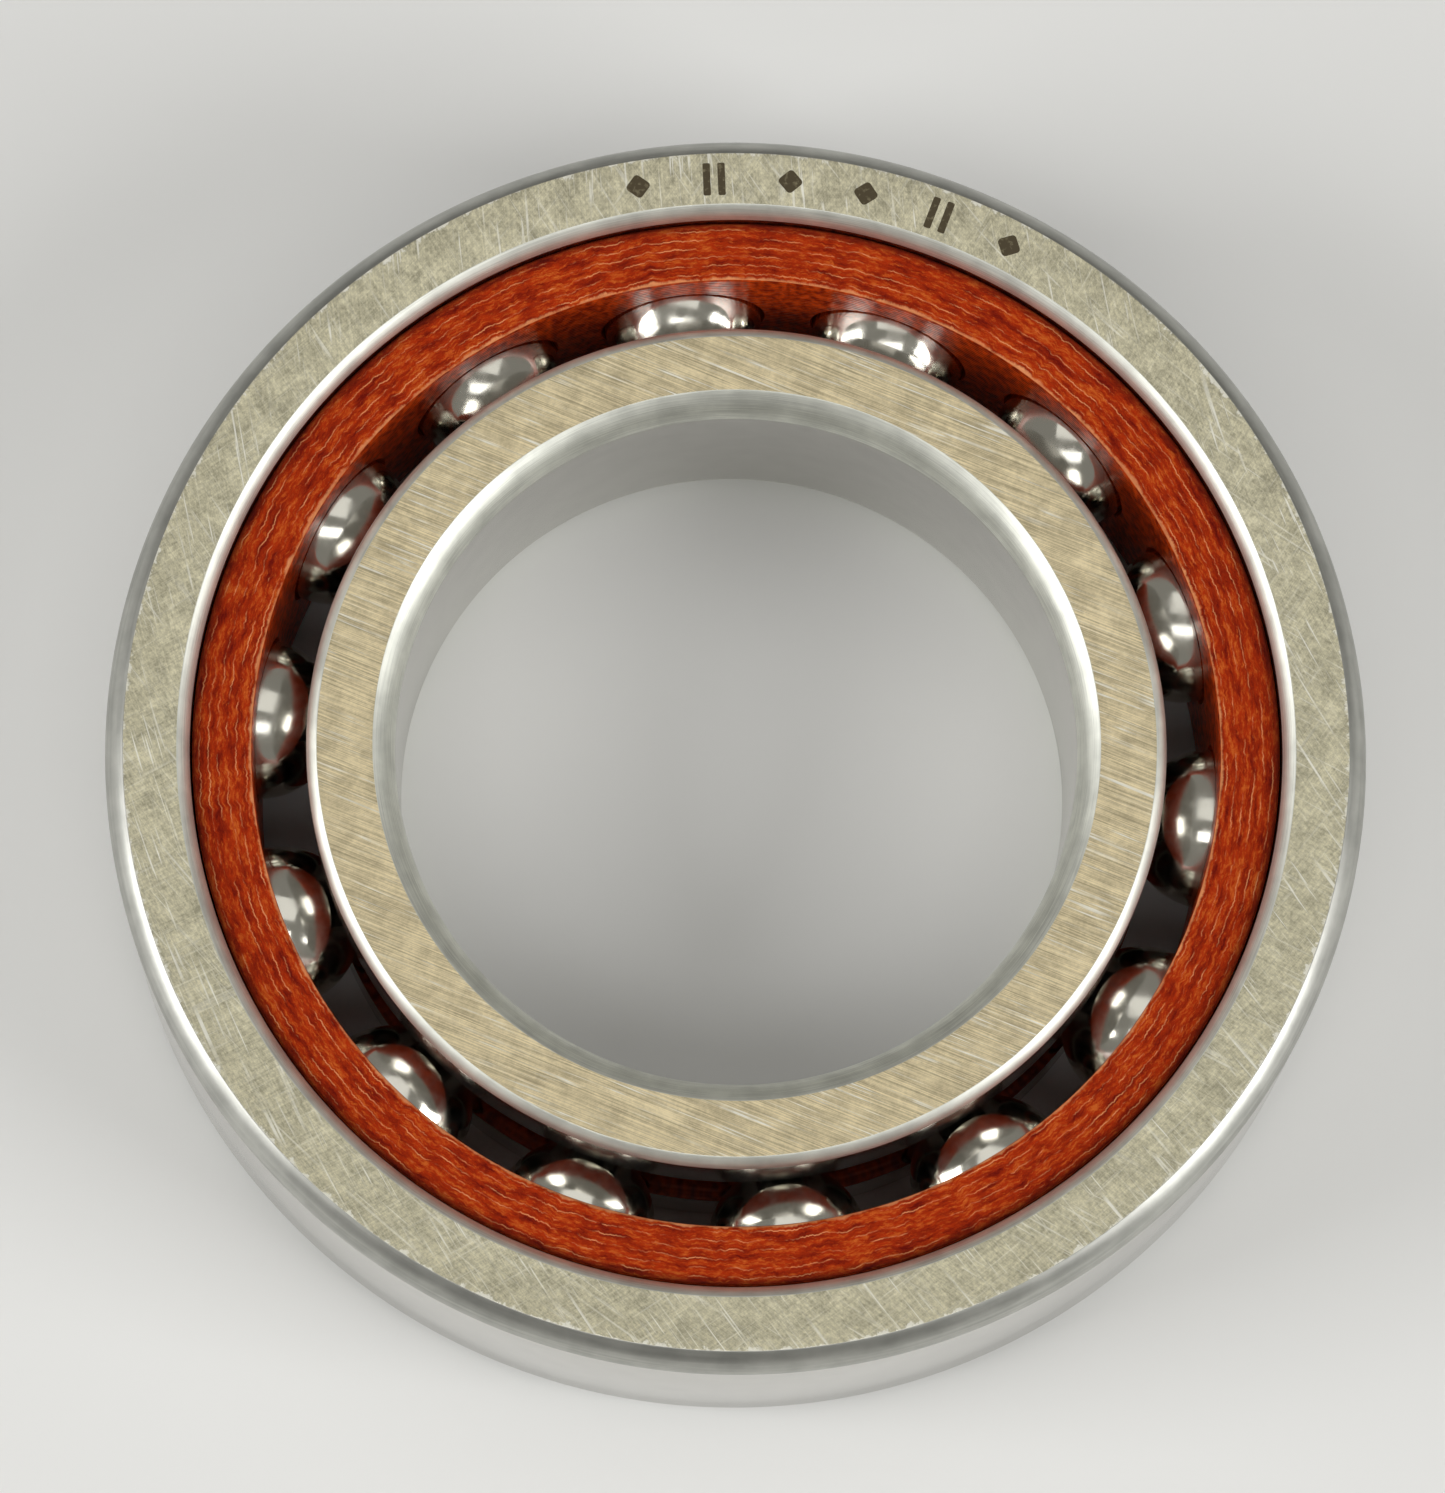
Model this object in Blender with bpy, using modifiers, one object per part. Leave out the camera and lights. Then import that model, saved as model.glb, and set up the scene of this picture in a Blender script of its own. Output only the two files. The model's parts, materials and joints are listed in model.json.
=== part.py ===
"""Open single-row angular contact ball bearing, 20 x 37 x 9 mm, contact angle 25 degrees.

The bearing's axis is Z and its origin is the centre of its box. The wide, thrust-carrying face of the
outer ring points to +Z. Lengths are in metres.
"""
import math

import bmesh
import bpy
from mathutils import Matrix, Vector

MM = 0.001

# Boundary sizes.
BORE_RADIUS = 10.0 * MM
OUTER_RADIUS = 18.5 * MM
WIDTH = 9.0 * MM
HALF_WIDTH = WIDTH / 2

# Balls and their circle.
BALL_RADIUS = 2.381 * MM
PITCH_RADIUS = 14.25 * MM
BALL_COUNT = 14
BALL_PITCH_ANGLE = 2 * math.pi / BALL_COUNT
FIRST_BALL_ANGLE = math.radians(-1.4)
CONTACT_ANGLE = math.radians(25.0)

# Raceway grooves: slightly opener than the ball, with a running gap at the contact.
GROOVE_RADIUS = 2.5 * MM
RUNNING_GAP = 0.035 * MM

# Outer ring.
OUTER_LAND_RADIUS = 16.0 * MM
WIDE_FACE_INNER_RADIUS = 16.36 * MM
LAND_CORNER_LENGTH = 0.5 * MM
NARROW_FACE_INNER_RADIUS = 17.05 * MM
RELIEF_START_RADIUS = 16.60 * MM
RELIEF_END_RADIUS = 16.78 * MM
RELIEF_CORNER_LENGTH = 0.27 * MM
OUTER_CORNER_RADIAL = 0.56 * MM
OUTER_CORNER_AXIAL = 0.85 * MM

# Inner ring.
SHOULDER_RADIUS = 12.6 * MM
INNER_FACE_OUTER_RADIUS = 12.29 * MM
SHOULDER_BEVEL_LENGTH = 0.35 * MM
BORE_CORNER_RADIAL = 0.64 * MM
BORE_CORNER_AXIAL = 1.15 * MM

# Cage, guided by the outer ring's land.
CAGE_INNER_RADIUS = 14.2 * MM
CAGE_OUTER_RADIUS = 15.94 * MM
CAGE_HALF_WIDTH = 3.87 * MM
CAGE_INNER_EDGE = 0.12 * MM
CAGE_OUTER_EDGE = 0.06 * MM
POCKET_RADIUS = 2.49 * MM
POCKET_CUT_START = 13.4 * MM
POCKET_CUT_END = 16.7 * MM

# Facets.
RING_STEPS = 72
GROOVE_STEPS = 8
CORNER_STEPS = 3
POCKET_SIDES = 32
BALL_SEGMENTS = 16
BALL_RINGS = 8
MERGE_DISTANCE = 1e-6
SHARP_ANGLE = math.radians(35)


def clear_scene():
    """Remove every object that the file opened with."""
    for obj in list(bpy.data.objects):
        bpy.data.objects.remove(obj, do_unlink=True)


def new_collection(name):
    """Add a collection to the scene."""
    collection = bpy.data.collections.new(name)
    bpy.context.scene.collection.children.link(collection)
    return collection


def make_material(name, colour, roughness, metallic):
    """Make a Principled material from a linear colour."""
    material = bpy.data.materials.new(name)
    material.use_nodes = True
    shader = material.node_tree.nodes["Principled BSDF"]
    shader.inputs["Base Color"].default_value = (*colour, 1.0)
    shader.inputs["Roughness"].default_value = roughness
    shader.inputs["Metallic"].default_value = metallic
    material.diffuse_color = (*colour, 1.0)
    return material


def quarter_round(centre, radial, axial, start_angle, end_angle):
    """Points of a quarter ellipse in the profile's plane, both ends included."""
    points = []
    for step in range(CORNER_STEPS + 1):
        angle = math.radians(start_angle + (end_angle - start_angle) * step / CORNER_STEPS)
        points.append((centre[0] + radial * math.cos(angle), centre[1] + axial * math.sin(angle)))
    return points


def arc_between(centre, radius, start, end):
    """Points of a groove's arc about centre, from height start to height end.

    A positive radius gives the arc on the far side from the axis and a negative one the arc next to it.
    """
    start_angle = math.asin((start - centre[1]) / abs(radius))
    end_angle = math.asin((end - centre[1]) / abs(radius))
    points = []
    for step in range(GROOVE_STEPS + 1):
        angle = start_angle + (end_angle - start_angle) * step / GROOVE_STEPS
        points.append((centre[0] + radius * math.cos(angle), centre[1] + abs(radius) * math.sin(angle)))
    return points


def height_on_circle(centre, radius, at_radius):
    """Distance above or below a circle's centre at which it reaches a given distance from the axis."""
    return math.sqrt(radius ** 2 - (at_radius - centre[0]) ** 2)


def outer_ring_profile():
    """Closed profile of the outer ring, down its outer side and up its raceway side."""
    offset = GROOVE_RADIUS - BALL_RADIUS - RUNNING_GAP
    groove = (PITCH_RADIUS - offset * math.cos(CONTACT_ANGLE), -offset * math.sin(CONTACT_ANGLE))
    groove_low = groove[1] - height_on_circle(groove, GROOVE_RADIUS, RELIEF_START_RADIUS)
    groove_high = groove[1] + height_on_circle(groove, GROOVE_RADIUS, OUTER_LAND_RADIUS)
    corner_radius = OUTER_RADIUS - OUTER_CORNER_RADIAL
    corner_height = HALF_WIDTH - OUTER_CORNER_AXIAL
    land_corner = WIDE_FACE_INNER_RADIUS - OUTER_LAND_RADIUS
    points = quarter_round((corner_radius, corner_height), OUTER_CORNER_RADIAL, OUTER_CORNER_AXIAL, 90, 0)
    points += quarter_round((corner_radius, -corner_height), OUTER_CORNER_RADIAL, OUTER_CORNER_AXIAL, 0, -90)
    points.append((NARROW_FACE_INNER_RADIUS, -HALF_WIDTH))
    points.append((RELIEF_END_RADIUS, -HALF_WIDTH + RELIEF_CORNER_LENGTH))
    points += arc_between(groove, GROOVE_RADIUS, groove_low, groove_high)
    points += quarter_round((WIDE_FACE_INNER_RADIUS, HALF_WIDTH - LAND_CORNER_LENGTH),
                            land_corner, LAND_CORNER_LENGTH, 180, 90)
    return points


def inner_ring_profile():
    """Closed profile of the inner ring, down its raceway side and up its bore."""
    offset = GROOVE_RADIUS - BALL_RADIUS - RUNNING_GAP
    groove = (PITCH_RADIUS + offset * math.cos(CONTACT_ANGLE), offset * math.sin(CONTACT_ANGLE))
    reach = height_on_circle(groove, GROOVE_RADIUS, SHOULDER_RADIUS)
    corner_radius = BORE_RADIUS + BORE_CORNER_RADIAL
    corner_height = HALF_WIDTH - BORE_CORNER_AXIAL
    points = [(INNER_FACE_OUTER_RADIUS, HALF_WIDTH), (SHOULDER_RADIUS, HALF_WIDTH - SHOULDER_BEVEL_LENGTH)]
    points += arc_between(groove, -GROOVE_RADIUS, groove[1] + reach, groove[1] - reach)
    points += [(SHOULDER_RADIUS, SHOULDER_BEVEL_LENGTH - HALF_WIDTH), (INNER_FACE_OUTER_RADIUS, -HALF_WIDTH)]
    points += quarter_round((corner_radius, -corner_height), BORE_CORNER_RADIAL, BORE_CORNER_AXIAL, 270, 180)
    points += quarter_round((corner_radius, corner_height), BORE_CORNER_RADIAL, BORE_CORNER_AXIAL, 180, 90)
    return points


def cage_profile():
    """Closed profile of the cage blank, with its four edges broken."""
    outer_half = [
        (CAGE_OUTER_RADIUS - CAGE_OUTER_EDGE, CAGE_HALF_WIDTH),
        (CAGE_OUTER_RADIUS, CAGE_HALF_WIDTH - CAGE_OUTER_EDGE),
    ]
    inner_half = [
        (CAGE_INNER_RADIUS, CAGE_HALF_WIDTH - CAGE_INNER_EDGE),
        (CAGE_INNER_RADIUS + CAGE_INNER_EDGE, CAGE_HALF_WIDTH),
    ]
    under = [(radius, -height) for radius, height in reversed(inner_half + outer_half)]
    return outer_half + under + inner_half


def settle(obj):
    """Give an object the mesh that its modifiers make, smooth but for its true edges."""
    evaluated = obj.evaluated_get(bpy.context.evaluated_depsgraph_get())
    mesh = bpy.data.meshes.new_from_object(evaluated)
    mesh.name = obj.name
    mesh.shade_smooth()
    mesh.set_sharp_from_angle(angle=SHARP_ANGLE)
    obj.modifiers.clear()
    obj.data = mesh


def turn(name, profile, material, collection):
    """Turn a closed profile round Z with a Screw modifier."""
    mesh = bpy.data.meshes.new(name)
    count = len(profile)
    shape = bmesh.new()
    vertices = [shape.verts.new((radius, 0.0, height)) for radius, height in profile]
    for index in range(count):
        shape.edges.new((vertices[index], vertices[(index + 1) % count]))
    shape.to_mesh(mesh)
    shape.free()
    mesh.materials.append(material)
    obj = bpy.data.objects.new(name, mesh)
    collection.objects.link(obj)
    screw = obj.modifiers.new("Turn", "SCREW")
    screw.axis = "Z"
    screw.angle = 2 * math.pi
    screw.steps = RING_STEPS
    screw.render_steps = RING_STEPS
    screw.use_merge_vertices = True
    screw.merge_threshold = MERGE_DISTANCE
    settle(obj)
    return obj


def make_pocket_cutter(collection):
    """One object with a radial cylinder for each ball's pocket."""
    shape = bmesh.new()
    length = POCKET_CUT_END - POCKET_CUT_START
    middle = (POCKET_CUT_END + POCKET_CUT_START) / 2
    along_x = Matrix.Rotation(math.radians(90), 4, "Y")
    for index in range(BALL_COUNT):
        turned = Matrix.Rotation(FIRST_BALL_ANGLE + index * BALL_PITCH_ANGLE, 4, "Z")
        bmesh.ops.create_cone(shape, cap_ends=True, segments=POCKET_SIDES, radius1=POCKET_RADIUS,
                              radius2=POCKET_RADIUS, depth=length,
                              matrix=turned @ Matrix.Translation((middle, 0, 0)) @ along_x)
    mesh = bpy.data.meshes.new("pocket_cutter")
    shape.to_mesh(mesh)
    shape.free()
    cutter = bpy.data.objects.new("pocket_cutter", mesh)
    cutter.hide_render = True
    cutter.display_type = "WIRE"
    collection.objects.link(cutter)
    return cutter


def make_cage(material, collection, cutters):
    """Turn the cage blank and bore its pockets."""
    cage = turn("cage", cage_profile(), material, collection)
    bore = cage.modifiers.new("Pockets", "BOOLEAN")
    bore.operation = "DIFFERENCE"
    bore.solver = "EXACT"
    bore.object = make_pocket_cutter(cutters)
    settle(cage)


def make_ball_mesh(material):
    """A ball whose poles lie on its own Z axis."""
    shape = bmesh.new()
    bmesh.ops.create_uvsphere(shape, u_segments=BALL_SEGMENTS, v_segments=BALL_RINGS, radius=BALL_RADIUS)
    mesh = bpy.data.meshes.new("ball")
    shape.to_mesh(mesh)
    shape.free()
    mesh.shade_smooth()
    mesh.materials.append(material)
    return mesh


def ball_spin_axis(angle):
    """Axis about which a ball rolls against the cage: square to the line through its two contacts."""
    outwards = Vector((math.cos(angle), math.sin(angle), 0.0))
    return outwards * -math.sin(CONTACT_ANGLE) + Vector((0, 0, math.cos(CONTACT_ANGLE)))


def make_balls(material, collection):
    """Place the balls on their circle, each one's Z axis along its rolling axis."""
    mesh = make_ball_mesh(material)
    for index in range(BALL_COUNT):
        angle = FIRST_BALL_ANGLE + index * BALL_PITCH_ANGLE
        ball = bpy.data.objects.new(f"ball_{index + 1:02d}", mesh)
        ball.location = (PITCH_RADIUS * math.cos(angle), PITCH_RADIUS * math.sin(angle), 0.0)
        ball.rotation_mode = "QUATERNION"
        ball.rotation_quaternion = ball_spin_axis(angle).to_track_quat("Z", "Y")
        collection.objects.link(ball)


def main():
    """Build the bearing."""
    clear_scene()
    bearing = new_collection("angular_contact_bearing")
    cutters = new_collection("cutters")
    ring_steel = make_material("ring_steel", (0.46, 0.45, 0.42), 0.32, 1.0)
    ball_steel = make_material("ball_steel", (0.72, 0.72, 0.72), 0.06, 1.0)
    phenolic = make_material("laminated_phenolic", (0.35, 0.07, 0.03), 0.5, 0.0)
    turn("outer_ring", outer_ring_profile(), ring_steel, bearing)
    turn("inner_ring", inner_ring_profile(), ring_steel, bearing)
    make_cage(phenolic, bearing, cutters)
    make_balls(ball_steel, bearing)


main()
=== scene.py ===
"""Finished look of an open angular contact ball bearing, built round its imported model.

Lengths in the dataclasses are in millimetres and become metres when a mesh is made. The bearing's axis
is Z, its origin is its centre, and the thrust-carrying face of the outer ring points to +Z.
"""
import sys

import json
import logging
import math
from collections.abc import Callable
from dataclasses import dataclass, field
from enum import Enum

import bpy
from mathutils import Matrix, Vector

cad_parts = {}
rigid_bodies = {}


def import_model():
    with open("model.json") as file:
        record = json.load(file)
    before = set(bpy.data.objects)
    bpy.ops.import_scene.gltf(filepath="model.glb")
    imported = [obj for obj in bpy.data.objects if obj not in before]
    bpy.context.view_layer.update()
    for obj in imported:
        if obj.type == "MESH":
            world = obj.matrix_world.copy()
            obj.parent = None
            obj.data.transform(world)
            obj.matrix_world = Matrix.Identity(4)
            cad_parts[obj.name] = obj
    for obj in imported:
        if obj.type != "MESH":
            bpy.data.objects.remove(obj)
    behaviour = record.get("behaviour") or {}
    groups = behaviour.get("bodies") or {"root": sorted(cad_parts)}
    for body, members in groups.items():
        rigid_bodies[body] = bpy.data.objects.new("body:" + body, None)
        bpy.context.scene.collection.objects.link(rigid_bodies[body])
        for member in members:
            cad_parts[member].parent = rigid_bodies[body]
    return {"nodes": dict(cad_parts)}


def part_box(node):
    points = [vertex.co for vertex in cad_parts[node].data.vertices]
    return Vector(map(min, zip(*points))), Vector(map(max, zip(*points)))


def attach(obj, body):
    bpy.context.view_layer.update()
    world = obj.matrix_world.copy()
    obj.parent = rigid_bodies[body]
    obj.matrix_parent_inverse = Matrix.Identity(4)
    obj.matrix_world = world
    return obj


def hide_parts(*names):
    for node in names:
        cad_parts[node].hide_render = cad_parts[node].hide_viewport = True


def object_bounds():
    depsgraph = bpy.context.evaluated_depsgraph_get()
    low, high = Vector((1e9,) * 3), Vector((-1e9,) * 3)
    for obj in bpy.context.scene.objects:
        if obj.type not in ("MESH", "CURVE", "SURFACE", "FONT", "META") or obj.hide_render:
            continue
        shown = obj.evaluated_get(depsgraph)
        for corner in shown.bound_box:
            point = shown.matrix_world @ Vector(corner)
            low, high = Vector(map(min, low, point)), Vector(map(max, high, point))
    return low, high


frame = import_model()
CAD_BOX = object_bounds()

LOG = logging.getLogger("bearing")
MM = 0.001
WELD_DISTANCE = 2e-7
SMOOTH_ANGLE = math.radians(14)
LEVEL = 0.97    # a face looks straight up or down from this Z of its normal on
NEAR = 0.01    # how near to a size, in millimetres, a face's centre counts as lying on it

Piece = bpy.types.Object
Tree = bpy.types.NodeTree
Node = bpy.types.Node
Socket = bpy.types.NodeSocket
Point = tuple[float, float]


# ---- Small tools ----

def linear_colour(code: str) -> tuple[float, float, float, float]:
    """Turn an sRGB hex colour into Blender's linear one.

    Args:
        code: Colour as "#rrggbb".

    Returns:
        Linear red, green and blue, and an alpha of 1.
    """
    values = [int(code[start:start + 2], 16) / 255 for start in (1, 3, 5)]
    linear = [value / 12.92 if value <= 0.04045 else ((value + 0.055) / 1.055) ** 2.4 for value in values]
    return linear[0], linear[1], linear[2], 1.0


def add_node(tree: Tree, kind: str, inputs: dict | None = None, output: int | str = 0,
             **settings: object) -> Socket:
    """Add a shader node with its settings, its constants and its links.

    Args:
        tree: Node tree to add to.
        kind: Blender's name for the node, without the ShaderNode in front.
        inputs: Socket name or number to a constant or to the output socket that feeds it.
        output: Name or number of the output that is wanted.
        settings: Properties of the node.

    Returns:
        The wanted output.
    """
    node = tree.nodes.new(f"ShaderNode{kind}")
    for name, value in settings.items():
        setattr(node, name, value)
    for name, value in (inputs or {}).items():
        if isinstance(value, Socket):
            tree.links.new(value, node.inputs[name])
        else:
            node.inputs[name].default_value = value
    return node.outputs[output]


def deselect_all() -> None:
    """Leave object mode with nothing selected."""
    if bpy.context.mode != "OBJECT":
        bpy.ops.object.mode_set(mode="OBJECT")
    bpy.ops.object.select_all(action="DESELECT")


def make_active(piece: Piece) -> None:
    """Select one object alone and make it active.

    Args:
        piece: The object.
    """
    deselect_all()
    piece.select_set(True)
    bpy.context.view_layer.objects.active = piece


def apply_place(piece: Piece) -> None:
    """Move an object's place, turn and size into its mesh."""
    make_active(piece)
    bpy.ops.object.transform_apply(location=True, rotation=True, scale=True)


def join(name: str, pieces: list[Piece]) -> Piece:
    """Join objects into one.

    Args:
        name: Name of the joined object.
        pieces: Objects with their places applied.

    Returns:
        The joined object.
    """
    make_active(pieces[0])
    for piece in pieces:
        piece.select_set(True)
    bpy.ops.object.join()
    joined = bpy.context.object
    joined.name = name
    joined.data.name = name
    return joined


def finish_mesh(piece: Piece, smooth_angle: float = SMOOTH_ANGLE) -> None:
    """Weld a mesh, turn its faces outwards and shade it smooth but for its true edges.

    Args:
        piece: The object whose mesh it is.
        smooth_angle: Turn past which an edge is sharp, in radians.
    """
    make_active(piece)
    bpy.ops.object.mode_set(mode="EDIT")
    bpy.ops.mesh.select_all(action="SELECT")
    bpy.ops.mesh.remove_doubles(threshold=WELD_DISTANCE)
    bpy.ops.mesh.normals_make_consistent(inside=False)
    bpy.ops.object.mode_set(mode="OBJECT")
    bpy.ops.object.shade_smooth_by_angle(angle=smooth_angle)


def install(piece: Piece, body: str, node: str | None) -> None:
    """Hang a finished piece on its CAD body.

    Args:
        piece: The piece, in its place.
        body: Body it moves with.
        node: CAD node that it stands for, if any.
    """
    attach(piece, body)
    if node:
        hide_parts(node)
    LOG.info("%s: %d faces, rides on %s", piece.name, len(piece.data.polygons), body)


@dataclass
class Outline:
    """Closed outline of a turned piece, as (distance from the axis, height) points.

    Attributes:
        points: The outline's points, down its outer side and up its inner one.
        edge_break: Size of the small round left on each true corner.
    """

    points: list[Point] = field(default_factory=list)
    edge_break: float = 0.03

    def line_to(self, radius: float, height: float) -> "Outline":
        """Go straight to a point."""
        self.points.append((radius, height))
        return self

    def bow_to(self, radius: float, height: float, rise: float, steps: int = 8) -> "Outline":
        """Go to a point along a shallow arc.

        Args:
            radius: The point's distance from the axis.
            height: The point's height.
            rise: Height of the arc over its chord, positive to the left of the way there.
            steps: Number of chords that make the arc.

        Returns:
            The outline itself.
        """
        start = Vector(self.points[-1])
        way = Vector((radius, height)) - start
        left = Vector((-way.y, way.x)).normalized()
        for step in range(1, steps + 1):
            share = step / steps
            point = start + way * share + left * rise * 4 * share * (1 - share)
            self.points.append((point.x, point.y))
        return self

    def groove(self, centre: Point, radius: float, start: float, end: float, steps: int = 18) -> "Outline":
        """Follow a ball groove from one height to another.

        Args:
            centre: Centre of the groove's arc.
            radius: Arc radius, negative where the groove lies between the arc's centre and the axis.
            start: Height at which the groove starts.
            end: Height at which it ends.
            steps: Number of chords that make the arc.

        Returns:
            The outline itself.
        """
        first = math.asin((start - centre[1]) / abs(radius))
        last = math.asin((end - centre[1]) / abs(radius))
        for step in range(steps + 1):
            angle = first + (last - first) * step / steps
            away = centre[0] + radius * math.cos(angle)
            self.points.append((away, centre[1] + abs(radius) * math.sin(angle)))
        return self

    def eased(self) -> list[Point]:
        """Put a small round on every true corner.

        Returns:
            The outline's points with those of the rounds.
        """
        count = len(self.points)
        eased: list[Point] = []
        for index, point in enumerate(self.points):
            here = Vector(point)
            back = Vector(self.points[index - 1]) - here
            ahead = Vector(self.points[(index + 1) % count]) - here
            turn = math.pi - back.angle(ahead)
            if turn < SMOOTH_ANGLE:
                eased.append(point)
                continue
            cut = min(self.edge_break, back.length / 3, ahead.length / 3)
            start = here + back.normalized() * cut
            end = here + ahead.normalized() * cut
            for share in (0.0, 0.33, 0.67, 1.0):
                spot = start.lerp(here, share).lerp(here.lerp(end, share), share)
                eased.append((spot.x, spot.y))
        return eased


def turn_ring(name: str, outline: Outline, segments: int) -> Piece:
    """Turn a closed outline round Z by extruding and scaling a circle from point to point.

    Args:
        name: Name of the piece.
        outline: Closed outline in millimetres.
        segments: Number of flats round the circle.

    Returns:
        The turned ring, with its place in its mesh.
    """
    points = outline.eased()
    deselect_all()
    first_radius, first_height = points[0]
    bpy.ops.mesh.primitive_circle_add(
        vertices=segments, radius=first_radius * MM, location=(0, 0, first_height * MM))
    ring = bpy.context.object
    ring.name = name
    ring.data.name = name
    apply_place(ring)
    bpy.ops.object.mode_set(mode="EDIT")
    bpy.ops.mesh.select_all(action="SELECT")
    radius, height = first_radius, first_height
    for next_radius, next_height in points[1:] + points[:1]:
        rise = (next_height - height) * MM
        bpy.ops.mesh.extrude_region_move(TRANSFORM_OT_translate={"value": (0, 0, rise)})
        growth = next_radius / radius
        bpy.ops.transform.resize(value=(growth, growth, 1), center_override=(0, 0, next_height * MM))
        radius, height = next_radius, next_height
    finish_mesh(ring)
    return ring


def dress(piece: Piece, finishes: list["Finish"],
          zone_of: Callable[[Vector, Vector], int]) -> None:
    """Give each zone of a piece its own finish.

    Args:
        piece: The piece to dress.
        finishes: Its finishes, in the order of its zones.
        zone_of: Tells a face's zone from its centre, in millimetres, and its normal.
    """
    piece.data.materials.clear()
    for finish in finishes:
        piece.data.materials.append(finish.material())
    for face in piece.data.polygons:
        face.material_index = zone_of(face.center / MM, face.normal)


def distance_from_axis(point: Vector) -> float:
    """Distance of a point from the bearing's axis."""
    return math.hypot(point.x, point.y)


# ---- Finishes ----

@dataclass(frozen=True)
class Finish:
    """A finish, made once and shared by the faces that wear it.

    Attributes:
        name: Name of the material.
        colour: Main colour, sRGB hex.
        roughness: Roughness of the surface between its marks.
        metallic: 1 for bare metal, 0 for the rest.
    """

    name: str
    colour: str
    roughness: float
    metallic: float = 1.0

    def material(self) -> bpy.types.Material:
        """Make the finish's material on its first use.

        Returns:
            The material.
        """
        made = bpy.data.materials.get(self.name)
        if made:
            return made
        made = bpy.data.materials.new(self.name)
        made.use_nodes = True
        tree = made.node_tree
        shader = tree.nodes["Principled BSDF"]
        shader.inputs["Base Color"].default_value = linear_colour(self.colour)
        shader.inputs["Roughness"].default_value = self.roughness
        shader.inputs["Metallic"].default_value = self.metallic
        made.diffuse_color = linear_colour(self.colour)
        place = add_node(tree, "TexCoord", output="Object")
        size = 1 / MM
        in_mm = add_node(tree, "Mapping", {"Vector": place, "Scale": (size, size, size)})
        self.draw(tree, shader, in_mm)
        return made

    def draw(self, tree: Tree, shader: Node, place: Socket) -> None:
        """Draw the finish's pattern.

        Args:
            tree: The material's nodes.
            shader: Its Principled shader.
            place: Object coordinates in millimetres.
        """

    @staticmethod
    def polar(tree: Tree, place: Socket,
              centre: Point = (0.0, 0.0)) -> tuple[Socket, Socket, Socket]:
        """Split a place into its direction from a vertical axis, its distance from it and its height.

        Args:
            tree: The material's nodes.
            place: Coordinates in millimetres.
            centre: Where the axis stands.

        Returns:
            Unit vector from the axis, distance from it and height.
        """
        moved = add_node(tree, "VectorMath", {0: place, 1: (centre[0], centre[1], 0)}, operation="SUBTRACT")
        flat = add_node(tree, "VectorMath", {0: moved, 1: (1, 1, 0)}, operation="MULTIPLY")
        away = add_node(tree, "VectorMath", {0: flat}, operation="NORMALIZE")
        reach = add_node(tree, "VectorMath", {0: flat}, operation="LENGTH", output="Value")
        height = add_node(tree, "SeparateXYZ", {0: place}, output="Z")
        return away, reach, height

    @staticmethod
    def along_circle(tree: Tree, away: Socket, across: Socket, counts: Point) -> Socket:
        """Stretch coordinates along circles, so that noise on them makes curved lines.

        Args:
            tree: The material's nodes.
            away: Unit vector from the circles' axis.
            across: Distance across the lines.
            counts: Number of the marks' lengths in one radian and of their widths in one millimetre.

        Returns:
            Vector for a texture.
        """
        length, width = counts
        slow = add_node(tree, "VectorMath", {0: away, 1: (length, length, 0)}, operation="MULTIPLY")
        quick = add_node(tree, "Math", {0: across, 1: width}, operation="MULTIPLY")
        lift = add_node(tree, "CombineXYZ", {"Z": quick})
        return add_node(tree, "VectorMath", {0: slow, 1: lift}, operation="ADD")

    def streaks(self, tree: Tree, away: Socket, across: Socket, counts: Point, detail: float,
                roughness: float = 0.5) -> Socket:
        """Return noise, about 0.5 on average, drawn out as along_circle does, in so many finer layers."""
        place = self.along_circle(tree, away, across, counts)
        return add_node(tree, "TexNoise", {
            "Vector": place, "Scale": 1.0, "Detail": detail, "Roughness": roughness})


@dataclass(frozen=True)
class Scratches:
    """One set of scratches.

    Attributes:
        length: Number of their lengths in one radian, or in one millimetre where they are straight.
        width: Number of their widths in one millimetre.
        threshold: Value of the noise at which one starts: the higher, the fewer.
    """

    length: float
    width: float
    threshold: float


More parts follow.
